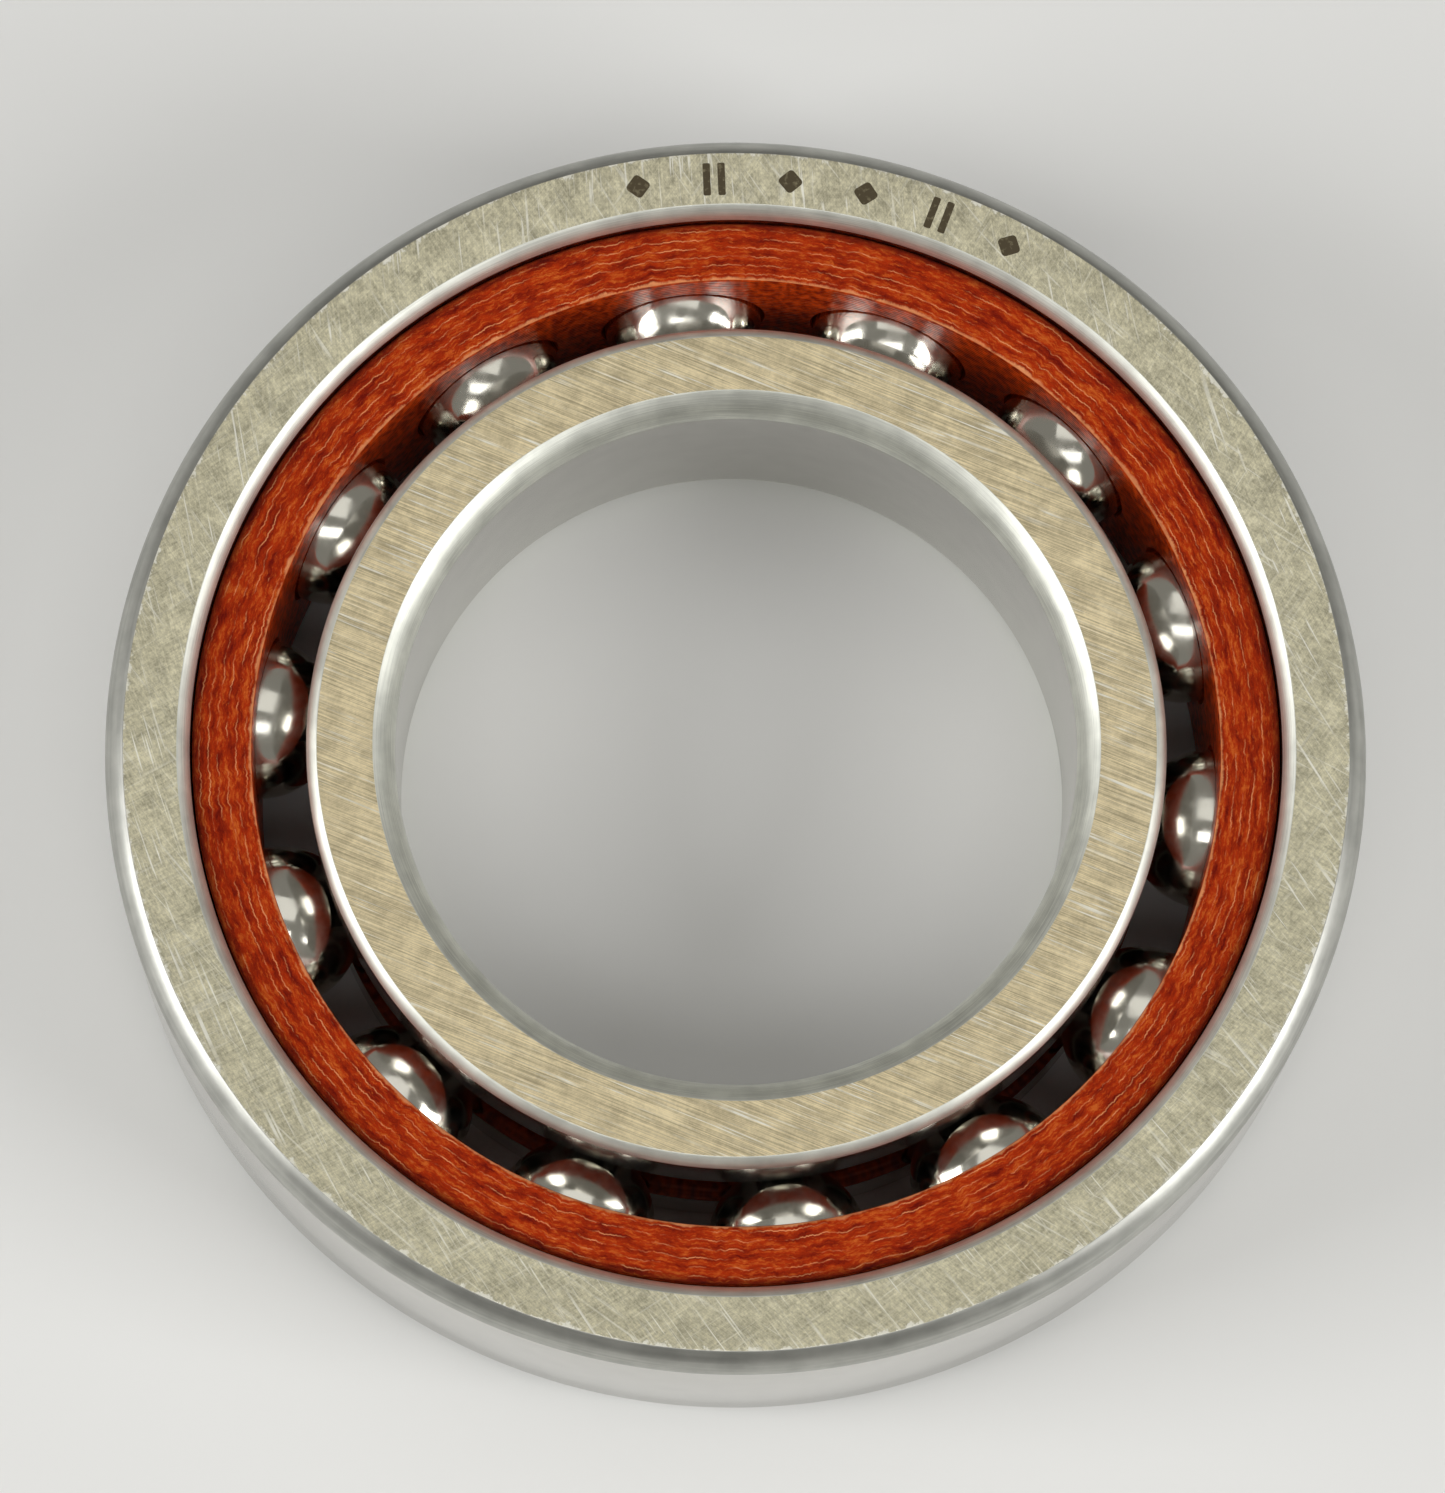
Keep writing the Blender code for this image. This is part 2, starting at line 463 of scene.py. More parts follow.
@dataclass(frozen=True)
class ScratchedSteel(Finish):
    """Hardened bearing steel with a ground face: fine grit lines, and brighter scratches from handling.

    Attributes:
        bright: Colour of a fresh scratch, sRGB hex.
        line_width: Width of a fine grinding line, in millimetres.
        hatch: Weight of the fine lines.
        grain: Weight of a fine even grain beside the lines.
        contrast: How far lines and grain lighten and darken the steel.
        relief: Depth of the lines, in millimetres.
        grains: Number of grains in one millimetre.
        clouds: Number of cloudy patches in one millimetre.
        softness: Rise of the noise from a scratch's edge to its middle.
        patch_size: Size of the patches that are scratched, in millimetres.
        patch_shift: How far apart the patches of different scratches are taken from.
    """

    bright: str = "#fffdf0"
    line_width: float = 0.04
    hatch: float = 0.5
    grain: float = 0.9
    contrast: float = 0.34
    relief: float = 0.004
    grains: float = 9.0
    clouds: float = 1.3
    softness: float = 0.07
    patch_size: float = 1.6
    patch_shift: float = 9.0

    def scratches(self, tree: Tree, stretched: Socket, place: Socket, threshold: float) -> Socket:
        """Return a mask of thin lines, where stretched noise rises over a threshold.

        Args:
            tree: The material's nodes.
            stretched: Coordinates drawn out along the lines.
            place: Plain coordinates, in millimetres.
            threshold: Value of the noise at which a line starts.

        Returns:
            Mask from 0 to 1.
        """
        noise = add_node(tree, "TexNoise", {"Vector": stretched, "Scale": 1.0, "Detail": 1.0})
        thin = add_node(tree, "MapRange", {
            "Value": noise, "From Min": threshold, "From Max": threshold + self.softness})
        patch = add_node(tree, "TexNoise", {"Vector": place, "Scale": 1 / self.patch_size, "Detail": 2.0})
        some = add_node(tree, "MapRange", {
            "Value": patch, "From Min": 0.42, "From Max": 0.6, "To Min": 0.15})
        return add_node(tree, "Math", {0: thin, 1: some}, operation="MULTIPLY")

    def lay(self, tree: Tree, shader: Node, place: Socket, fine: Socket, bright: Socket) -> None:
        """Turn fine lines and bright scratches into colour, roughness and relief.

        Args:
            tree: The material's nodes.
            shader: Its Principled shader.
            place: Coordinates in millimetres.
            fine: Fine lines, about 0.5 on average.
            bright: Mask of the bright scratches.
        """
        cloud = add_node(tree, "TexNoise", {
            "Vector": place, "Scale": self.clouds, "Detail": 8.0, "Roughness": 0.75})
        grain = add_node(tree, "TexNoise", {
            "Vector": place, "Scale": self.grains, "Detail": 3.0, "Roughness": 0.7})
        patches = add_node(tree, "Math", {0: grain, 1: self.grain, 2: cloud}, operation="MULTIPLY_ADD")
        both = add_node(tree, "Math", {0: fine, 1: self.hatch, 2: patches}, operation="MULTIPLY_ADD")
        # Brings the sum back to about 0.62 on average, whatever the weights.
        level = 0.12 - (self.grain + self.hatch) / 2
        both = add_node(tree, "Math", {0: both, 1: level}, operation="ADD")
        tone = add_node(tree, "MapRange", {
            "Value": both, "From Min": 0.35, "From Max": 0.9, "To Min": 1 - self.contrast,
            "To Max": 1 + self.contrast})
        base = add_node(tree, "VectorMath", {
            0: linear_colour(self.colour)[:3], "Scale": tone}, operation="SCALE")
        share = add_node(tree, "Math", {0: bright, 1: 0.8}, operation="MULTIPLY")
        mixed = add_node(tree, "Mix", {
            "Factor": share, 6: base, 7: linear_colour(self.bright)}, data_type="RGBA", output=2)
        tree.links.new(mixed, shader.inputs["Base Color"])
        rough = add_node(tree, "MapRange", {
            "Value": both, "From Min": 0.35, "From Max": 0.85, "To Min": self.roughness + 0.08,
            "To Max": self.roughness - 0.06})
        tree.links.new(rough, shader.inputs["Roughness"])
        depth = add_node(tree, "Math", {0: fine, 1: bright}, operation="SUBTRACT")
        bump = add_node(tree, "Bump", {"Height": depth, "Strength": 0.6, "Distance": self.relief * MM})
        tree.links.new(bump, shader.inputs["Normal"])


@dataclass(frozen=True)
class ArcGroundSteel(ScratchedSteel):
    """Ring face ground by a cup wheel: long shallow arcs cross widely, and the outer edge is nicked.

    Attributes:
        arc_centres: Centres of the crossing arcs, in millimetres from the bearing's axis.
        arc_strengths: How bright the scratches along each set of arcs are, from 0 to 1.
        fine_length: Number of a fine line's lengths in one radian.
        sets: The scratches along each set of arcs.
        edge_radius: Where the face meets its outer corner.
        nicks: Number of a nick's lengths in one radian, and of its depths in one millimetre.
        nick_sway: How far the nicked edge wanders, in millimetres.
        nick_start: Where on that way a nick starts, and where it is brightest.
    """

    arc_centres: tuple[Point, ...] = ((50.0, 26.0), (-45.0, 40.0), (40.0, 52.0))
    arc_strengths: tuple[float, ...] = (1.0, 0.35, 0.6)
    fine_length: float = 22.0
    sets: tuple[Scratches, ...] = (Scratches(9.0, 8.0, 0.66), Scratches(30.0, 13.0, 0.64))
    edge_radius: float = 17.94
    nicks: Point = (50.0, 2.0)
    nick_sway: float = 0.9
    nick_start: Point = (0.4, 0.47)

    def draw(self, tree: Tree, shader: Node, place: Socket) -> None:
        """Draw crossing arcs, sparse bright scratches and a nicked outer edge."""
        fine_lines: list[Socket] = []
        bright = self.edge_nicks(tree, place)
        for number, centre in enumerate(self.arc_centres):
            away, reach, _ = self.polar(tree, place, centre)
            # A real grit line is finer than 0.02 mm; these are drawn coarser, so that they show.
            counts = (self.fine_length, 1 / self.line_width)
            fine_lines.append(self.streaks(tree, away, reach, counts, 3.0, 0.6))
            for kind in self.sets:
                stretched = self.along_circle(tree, away, reach, (kind.length, kind.width))
                moved = add_node(tree, "VectorMath", {
                    0: place, 1: (self.patch_shift * number, kind.length, 0)}, operation="ADD")
                lines = self.scratches(tree, stretched, moved, kind.threshold)
                lines = add_node(tree, "Math", {
                    0: lines, 1: self.arc_strengths[number]}, operation="MULTIPLY")
                bright = add_node(tree, "Math", {0: lines, 1: bright}, operation="MAXIMUM")
        pair = add_node(tree, "Math", {0: fine_lines[0], 1: fine_lines[1]}, operation="ADD")
        total = add_node(tree, "Math", {0: pair, 1: fine_lines[2]}, operation="ADD")
        fine = add_node(tree, "MapRange", {"Value": total, "From Min": 1.15, "From Max": 1.85})
        self.lay(tree, shader, place, fine, bright)

    def edge_nicks(self, tree: Tree, place: Socket) -> Socket:
        """Draw short bright nicks along the face's outer edge.

        Args:
            tree: The material's nodes.
            place: Coordinates in millimetres.

        Returns:
            Mask from 0 to 1.
        """
        away, reach, _ = self.polar(tree, place)
        ragged = self.streaks(tree, away, reach, self.nicks, 4.0, 0.7)
        wander = add_node(tree, "Math", {0: ragged, 1: self.nick_sway, 2: reach}, operation="MULTIPLY_ADD")
        return add_node(tree, "MapRange", {
            "Value": wander, "From Min": self.edge_radius + self.nick_start[0],
            "From Max": self.edge_radius + self.nick_start[1]})


@dataclass(frozen=True)
class StraightGroundSteel(ScratchedSteel):
    """Ring face ground on a flat table: fine straight lines run right across it, all one way.

    Attributes:
        direction: Angle of the lines from +X, in degrees.
        fine_length: Number of a fine line's lengths in one millimetre.
        downwards: Number of any line's depths in one millimetre.
        sets: The brighter scratches.
    """

    patch_size: float = 1.3
    patch_shift: float = 20.0
    direction: float = -17.0
    fine_length: float = 0.3
    downwards: float = 0.2
    sets: tuple[Scratches, ...] = (Scratches(0.14, 8.0, 0.65), Scratches(0.4, 12.0, 0.62))

    def draw(self, tree: Tree, shader: Node, place: Socket) -> None:
        """Draw parallel fine lines with brighter ones among them."""
        turned = add_node(tree, "VectorRotate", {
            "Vector": place, "Axis": (0, 0, 1), "Angle": -math.radians(self.direction)})
        fine_place = add_node(tree, "VectorMath", {
            0: turned, 1: (self.fine_length, 1 / self.line_width, self.downwards)}, operation="MULTIPLY")
        fine = add_node(tree, "TexNoise", {
            "Vector": fine_place, "Scale": 1.0, "Detail": 3.0, "Roughness": 0.65})
        spread = add_node(tree, "MapRange", {"Value": fine, "From Min": 0.3, "From Max": 0.7})
        masks: list[Socket] = []
        for kind in self.sets:
            stretched = add_node(tree, "VectorMath", {
                0: turned, 1: (kind.length, kind.width, self.downwards)}, operation="MULTIPLY")
            shift = self.patch_shift * kind.length
            moved = add_node(tree, "VectorMath", {0: place, 1: (0, shift, 0)}, operation="ADD")
            masks.append(self.scratches(tree, stretched, moved, kind.threshold))
        bright = add_node(tree, "Math", {0: masks[1], 1: masks[0]}, operation="MAXIMUM")
        self.lay(tree, shader, place, spread, bright)


@dataclass(frozen=True)
class TurnedSteel(Finish):
    """Bearing steel turned, ground or honed: satin to bright, with fine lines round the axis.

    Attributes:
        line_width: Width of a line, in millimetres.
        line_length: Number of a line's lengths in one radian.
        relief: Depth of the lines, in millimetres.
        depth: How strongly the lines show in the light.
        mottle: How far patches and lines lighten and darken the steel.
    """

    line_width: float = 0.04
    line_length: float = 5.0
    relief: float = 0.004
    depth: float = 0.3
    mottle: float = 0.16

    def draw(self, tree: Tree, shader: Node, place: Socket) -> None:
        """Draw fine lines round the axis and faint cloudy patches."""
        away, reach, height = self.polar(tree, place)
        across = add_node(tree, "Math", {0: reach, 1: height}, operation="ADD")
        counts = (self.line_length, 1 / self.line_width)
        lines = self.streaks(tree, away, across, counts, 2.0)
        cloud = add_node(tree, "TexNoise", {"Vector": place, "Scale": 1.1, "Detail": 4.0})
        both = add_node(tree, "Math", {0: lines, 1: cloud}, operation="ADD")
        tone = add_node(tree, "MapRange", {
            "Value": both, "From Min": 0.75, "From Max": 1.25, "To Min": 1 - self.mottle,
            "To Max": 1 + self.mottle})
        base = add_node(tree, "VectorMath", {
            0: linear_colour(self.colour)[:3], "Scale": tone}, operation="SCALE")
        tree.links.new(base, shader.inputs["Base Color"])
        bump = add_node(tree, "Bump", {
            "Height": lines, "Strength": self.depth, "Distance": self.relief * MM})
        tree.links.new(bump, shader.inputs["Normal"])


@dataclass(frozen=True)
class LappedSteel(Finish):
    """Bearing steel lapped to a mirror: only the faintest haze breaks its reflections."""

    def draw(self, tree: Tree, shader: Node, place: Socket) -> None:
        """Draw a faint haze in the mirror."""
        haze = add_node(tree, "TexNoise", {"Vector": place, "Scale": 2.0, "Detail": 4.0})
        rough = add_node(tree, "MapRange", {
            "Value": haze, "From Min": 0.35, "From Max": 0.65, "To Min": self.roughness * 0.6,
            "To Max": self.roughness * 1.5})
        tree.links.new(rough, shader.inputs["Roughness"])


@dataclass(frozen=True)
class ClothLaminate(Finish):
    """Phenolic resin over wound cotton cloth: the cut edges of the plies show as broken lighter threads.

    Attributes:
        deep: Colour of the resin where it is thick, sRGB hex.
        fibre: Colour of resin-soaked fibre close to the surface, sRGB hex.
        thread: Colour of a cut thread, sRGB hex.
        ply: Thickness of one ply of cloth, in millimetres.
        wave: How far a ply wanders from its circle, in millimetres.
        inner_edge: Distance from the axis inside which the broken edge is worn light.
        outer_edge: Distance from the axis at which the painted shadow along the face's outer rim is
            darkest.
        shadow: Width of that painted shadow, in millimetres.
        fuzz: Height of the cut fibres, in millimetres.
        gloss: Specular level, low because the cut fibres scatter what resin would mirror.
        sways: Number of a ply's waves in one radian, and in one millimetre of height.
        patches: Number of a resin patch's lengths in one radian, and of its widths in one millimetre.
        flecks: The same for flecks of fibre.
        breaks: The same for the stretches in which threads show.
    """

    deep: str = "#6c0c00"
    fibre: str = "#cf6222"
    thread: str = "#f2a06a"
    ply: float = 0.27
    wave: float = 0.1
    inner_edge: float = 14.3
    outer_edge: float = 15.92
    shadow: float = 0.3
    fuzz: float = 0.05
    gloss: float = 0.08
    sways: Point = (16.0, 0.8)
    patches: Point = (15.0, 4.2)
    flecks: Point = (65.0, 15.0)
    breaks: Point = (13.0, 3.0)

    def draw(self, tree: Tree, shader: Node, place: Socket) -> None:
        """Draw mottled resin, fibre flecks, broken threads, a painted shadow along the outer rim and a
        slightly fuzzy surface.
        """
        shader.inputs["Specular IOR Level"].default_value = self.gloss
        away, reach, height = self.polar(tree, place)
        sway = self.streaks(tree, away, height, self.sways, 5.0, 0.72)
        wander = add_node(tree, "Math", {0: sway, 1: self.wave * 4, 2: reach}, operation="MULTIPLY_ADD")
        mottle = self.streaks(tree, away, wander, self.patches, 7.0, 0.72)
        thick = add_node(tree, "MapRange", {"Value": mottle, "From Min": 0.55, "From Max": 0.34})
        resin = add_node(tree, "Mix", {
            "Factor": thick, 6: linear_colour(self.colour), 7: linear_colour(self.deep)}, data_type="RGBA",
            output=2)
        flecks = self.streaks(tree, away, wander, self.flecks, 4.0, 0.7)
        both = add_node(tree, "Math", {0: mottle, 1: flecks}, operation="ADD")
        near = add_node(tree, "MapRange", {"Value": both, "From Min": 1.02, "From Max": 1.25})
        body = add_node(tree, "Mix", {
            "Factor": near, 6: resin, 7: linear_colour(self.fibre)}, data_type="RGBA", output=2)
        turns = add_node(tree, "Math", {0: wander, 1: math.pi / self.ply}, operation="MULTIPLY")
        ridge = add_node(tree, "Math", {0: turns}, operation="SINE")
        ridge = add_node(tree, "Math", {0: ridge}, operation="ABSOLUTE")
        edge = add_node(tree, "MapRange", {"Value": ridge, "From Max": 0.3, "To Min": 1.0, "To Max": 0.0})
        broken = self.streaks(tree, away, reach, self.breaks, 4.0, 0.65)
        some = add_node(tree, "MapRange", {"Value": broken, "From Min": 0.46, "From Max": 0.62})
        threads = add_node(tree, "Math", {0: edge, 1: some}, operation="MULTIPLY")
        edge_of_wear = self.inner_edge + self.wave * 2
        worn = add_node(tree, "MapRange", {
            "Value": wander, "From Min": edge_of_wear, "From Max": edge_of_wear - 0.06})
        ragged = add_node(tree, "Math", {0: broken, 1: 1.5}, operation="MULTIPLY")
        worn = add_node(tree, "Math", {0: worn, 1: ragged}, operation="MULTIPLY")
        light = add_node(tree, "Math", {0: threads, 1: worn}, operation="MAXIMUM")
        lit = add_node(tree, "Mix", {
            "Factor": light, 6: body, 7: linear_colour(self.thread)}, data_type="RGBA", output=2)
        # Painted shadow: the colour falls to 0.3 of itself towards the outer rim, standing in for the shade
        # there beside the outer ring.
        shadow = add_node(tree, "MapRange", {
            "Value": reach, "From Min": self.outer_edge - self.shadow, "From Max": self.outer_edge,
            "To Min": 1.0, "To Max": 0.3})
        shaded = add_node(tree, "VectorMath", {0: lit, "Scale": shadow}, operation="SCALE")
        tree.links.new(shaded, shader.inputs["Base Color"])
        raised = add_node(tree, "Math", {0: threads, 1: 0.15, 2: both}, operation="MULTIPLY_ADD")
        bump = add_node(tree, "Bump", {"Height": raised, "Strength": 0.8, "Distance": self.fuzz * MM})
        tree.links.new(bump, shader.inputs["Normal"])


@dataclass(frozen=True)
class TurnedLaminate(Finish):
    """Cloth laminate bored and turned: resin-rich and glossier, with tool lines round the axis.

    Attributes:
        deep: Colour of the darker patches of the mottle, sRGB hex.
        feed: Distance between tool lines, in millimetres.
        relief: Depth of the tool lines, in millimetres.
        patches: Number of a patch's lengths in one radian, and of its heights in one millimetre.
    """

    deep: str = "#8c1e00"
    feed: float = 0.18
    relief: float = 0.012
    patches: Point = (60.0, 3.0)

    def draw(self, tree: Tree, shader: Node, place: Socket) -> None:
        """Draw tool lines and a mottle of cut cloth."""
        away, _, height = self.polar(tree, place)
        turns = add_node(tree, "Math", {0: height, 1: 2 * math.pi / self.feed}, operation="MULTIPLY")
        wave = add_node(tree, "Math", {0: turns}, operation="SINE")
        mottle = self.streaks(tree, away, height, self.patches, 3.0)
        shade = add_node(tree, "MapRange", {"Value": mottle, "From Min": 0.36, "From Max": 0.64})
        mixed = add_node(tree, "Mix", {
            "Factor": shade, 6: linear_colour(self.deep), 7: linear_colour(self.colour)}, data_type="RGBA",
            output=2)
        tree.links.new(mixed, shader.inputs["Base Color"])
        raised = add_node(tree, "Math", {0: mottle, 1: 2.0, 2: wave}, operation="MULTIPLY_ADD")
        bump = add_node(tree, "Bump", {"Height": raised, "Strength": 0.6, "Distance": self.relief * MM})
        tree.links.new(bump, shader.inputs["Normal"])


@dataclass(frozen=True)
class EtchedSteel(Finish):
    """Steel darkened by electrolytic etching: dull brown-grey, thinner and lighter in places.

    Attributes:
        worn: Colour where the etch is thin, sRGB hex.
    """

    worn: str = "#8f8669"

    def draw(self, tree: Tree, shader: Node, place: Socket) -> None:
        """Draw a speckle where the etch is thin."""
        speckle = add_node(tree, "TexNoise", {"Vector": place, "Scale": 6.0, "Detail": 3.0})
        thin = add_node(tree, "MapRange", {"Value": speckle, "From Min": 0.54, "From Max": 0.78})
        mixed = add_node(tree, "Mix", {
            "Factor": thin, 6: linear_colour(self.colour), 7: linear_colour(self.worn)}, data_type="RGBA",
            output=2)
        tree.links.new(mixed, shader.inputs["Base Color"])


OUTER_FACE = ArcGroundSteel("outer_ground_face", "#cbc5a9", 0.36, hatch=0.32)
INNER_FACE = StraightGroundSteel("inner_ground_face", "#d9caa5", 0.36, hatch=0.6, grain=0.3)
TURNED_CORNER = TurnedSteel("turned_corner", "#e2e3da", 0.5, depth=0.6)
OUTSIDE_CORNER = TurnedSteel("turned_outside_corner", "#b0b0aa", 0.4, depth=0.5)
GROUND_BARREL = TurnedSteel("ground_barrel", "#c6c4bf", 0.19, line_width=0.03, depth=0.12, mottle=0.05)
HONED_RACEWAY = TurnedSteel("honed_raceway", "#c8c6c0", 0.1, line_width=0.03, depth=0.08, mottle=0.03)
MIRROR_BALL = LappedSteel("lapped_ball", "#dedbcf", 0.15)
CAGE_FACE = ClothLaminate("cloth_laminate", "#b03002", 0.6, 0.0)
CAGE_WALL = TurnedLaminate("turned_laminate", "#e4500c", 0.34, 0.0)
ETCH = EtchedSteel("etched_mark", "#544a36", 0.55, 0.6)


# ---- The bearing's pieces ----

@dataclass(frozen=True)
class BallSet:
    """The balls' own sizes, which the ring grooves and the cage's pockets also follow.

    Attributes:
        ball_radius: Radius of a ball.
        pitch_radius: Radius of the balls' circle.
        contact_angle: Angle of the contact line from the radial plane, in degrees.
        groove_radius: Radius of both rings' grooves.
        running_gap: Gap between a ball and its groove at the contact.
        cuts: Number of cuts across each side of the cube from which a ball is rounded.
        smooth_angle: Turn past which an edge is sharp, in degrees.
    """

    ball_radius: float = 2.381
    pitch_radius: float = 14.25
    contact_angle: float = 25.0
    groove_radius: float = 2.5
    running_gap: float = 0.035
    cuts: int = 23
    smooth_angle: float = 40.0

    def groove_centre(self, side: int) -> Point:
        """Centre of a groove's arc.

        Args:
            side: -1 for the outer ring's groove, 1 for the inner ring's.

        Returns:
            Distance from the axis and height.
        """
        offset = (self.groove_radius - self.ball_radius - self.running_gap) * side
        angle = math.radians(self.contact_angle)
        return self.pitch_radius + offset * math.cos(angle), offset * math.sin(angle)

    def groove_reach(self, side: int, radius: float) -> float:
        """Height over its centre at which a groove reaches a given distance from the axis."""
        return math.sqrt(self.groove_radius ** 2 - (radius - self.groove_centre(side)[0]) ** 2)

    def names(self) -> list[str]:
        """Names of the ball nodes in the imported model."""
        return sorted(name for name in frame["nodes"] if name.startswith("ball_"))

    def centre(self, name: str) -> Vector:
        """Find one ball's centre.

        Args:
            name: Name of its node.

        Returns:
            The centre, in metres.
        """
        low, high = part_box(name)
        middle = (low + high) / 2
        angle = math.atan2(middle.y, middle.x)
        return Vector((math.cos(angle), math.sin(angle), 0)) * self.pitch_radius * MM

    def build(self) -> None:
        """Round one ball from a cube and set a copy in each ball's place."""
        deselect_all()
        bpy.ops.mesh.primitive_cube_add(size=2 * self.ball_radius * MM)
        first = bpy.context.object
        bpy.ops.object.mode_set(mode="EDIT")
        bpy.ops.mesh.select_all(action="SELECT")
        bpy.ops.mesh.subdivide(number_cuts=self.cuts)
        bpy.ops.transform.tosphere(value=1.0)
        bpy.ops.object.mode_set(mode="OBJECT")
        wanted = self.ball_radius * MM
        for vertex in first.data.vertices:
            vertex.co = vertex.co.normalized() * wanted
        finish_mesh(first, math.radians(self.smooth_angle))
        first.data.materials.append(MIRROR_BALL.material())
        for number, name in enumerate(self.names()):
            ball = first
            if number:
                ball = first.copy()
                ball.data = first.data.copy()
                bpy.context.collection.objects.link(ball)
            ball.name = f"{name}_polished"
            ball.data.name = ball.name
        for name in self.names():
            ball = bpy.data.objects[f"{name}_polished"]
            ball.data.transform(Matrix.Translation(self.centre(name)))
            install(ball, name, name)


class Zone(Enum):
    """Differently finished zones of a ring."""

    FACE = 0
    CORNER = 1
    BARREL = 2
    RACEWAY = 3
    OUTSIDE_CORNER = 4


@dataclass
class OuterRing:
    """Outer ring, with a high shoulder on the thrust side and a relieved bore on the other.

    Attributes:
        balls: The balls that run in it.
        radius: Outside radius.
        half_width: Half the width.
        corner: Radial and axial size of the outside corners.
        corner_rise: How far the outside corners bulge.
        land_radius: Radius of the high shoulder, which also guides the cage.
        land_corner_rise: How far the corner between the wide face and the land bulges.
        wide_face_radius: Inside radius of the wide face.
        land_corner: Axial size of the corner between the wide face and the land.
        narrow_face_radius: Inside radius of the narrow face.
        relief: Radius of the relieved bore next to the groove and at its mouth.
        relief_corner: Axial size of the corner at the relieved bore's mouth.
        relief_rise: How far that corner bulges.
        groove_edge: Height by which the groove's finish moves down at both of its ends.
        segments: Flats round the circle.
    """

    balls: BallSet
    radius: float = 18.5
    half_width: float = 4.5
    corner: Point = (0.56, 0.88)
    corner_rise: float = 0.13
    land_radius: float = 16.0
    wide_face_radius: float = 16.36
    land_corner: float = 0.52
    land_corner_rise: float = 0.06
    narrow_face_radius: float = 17.05
    relief: Point = (16.60, 16.78)
    relief_corner: float = 0.27
    relief_rise: float = 0.03
    groove_edge: float = 0.05
    segments: int = 288

    def groove_ends(self) -> Point:
        """Heights of the groove's lower and upper end."""
        middle = self.balls.groove_centre(-1)[1]
        return (middle - self.balls.groove_reach(-1, self.relief[0]),
                middle + self.balls.groove_reach(-1, self.land_radius))

    def outline(self) -> Outline:
        """Draw the ring's outline.

        Returns:
            The outline, in millimetres.
        """
        balls = self.balls
        face, side = self.radius - self.corner[0], self.half_width - self.corner[1]
        return (Outline()
                .line_to(face, self.half_width)
                .bow_to(self.radius, side, self.corner_rise)
                .line_to(self.radius, -side)
                .bow_to(face, -self.half_width, self.corner_rise)
                .line_to(self.narrow_face_radius, -self.half_width)
                .bow_to(self.relief[1], -self.half_width + self.relief_corner, self.relief_rise, 5)
                .groove(balls.groove_centre(-1), balls.groove_radius, *self.groove_ends())
                .line_to(self.land_radius, self.half_width - self.land_corner)
                .bow_to(self.wide_face_radius, self.half_width, self.land_corner_rise))

    def zone_of(self, centre: Vector, normal: Vector) -> int:
        """Tell a mesh face's zone.

        Args:
            centre: The face's centre, in millimetres.
            normal: Its normal.

        Returns:
            The zone's number.
        """
        away = distance_from_axis(centre)
        outwards = normal.x * centre.x + normal.y * centre.y > 0
        if abs(normal.z) > LEVEL and abs(centre.z) > self.half_width - NEAR:
            return Zone.FACE.value
        if outwards and away > self.radius - NEAR:
            return Zone.BARREL.value
        low, high = self.groove_ends()
        if not outwards and low < centre.z + self.groove_edge < high:
            return Zone.RACEWAY.value
        if not outwards and away < self.land_radius + NEAR:
            return Zone.BARREL.value
        if away > self.radius - self.corner[0] - NEAR:
            return Zone.OUTSIDE_CORNER.value
        return Zone.CORNER.value

    def build(self) -> None:
        """Turn the ring and dress it."""
        ring = turn_ring("outer_ring_ground", self.outline(), self.segments)
        dress(ring, [OUTER_FACE, TURNED_CORNER, GROUND_BARREL, HONED_RACEWAY, OUTSIDE_CORNER], self.zone_of)
        install(ring, "outer_ring", "outer_ring")


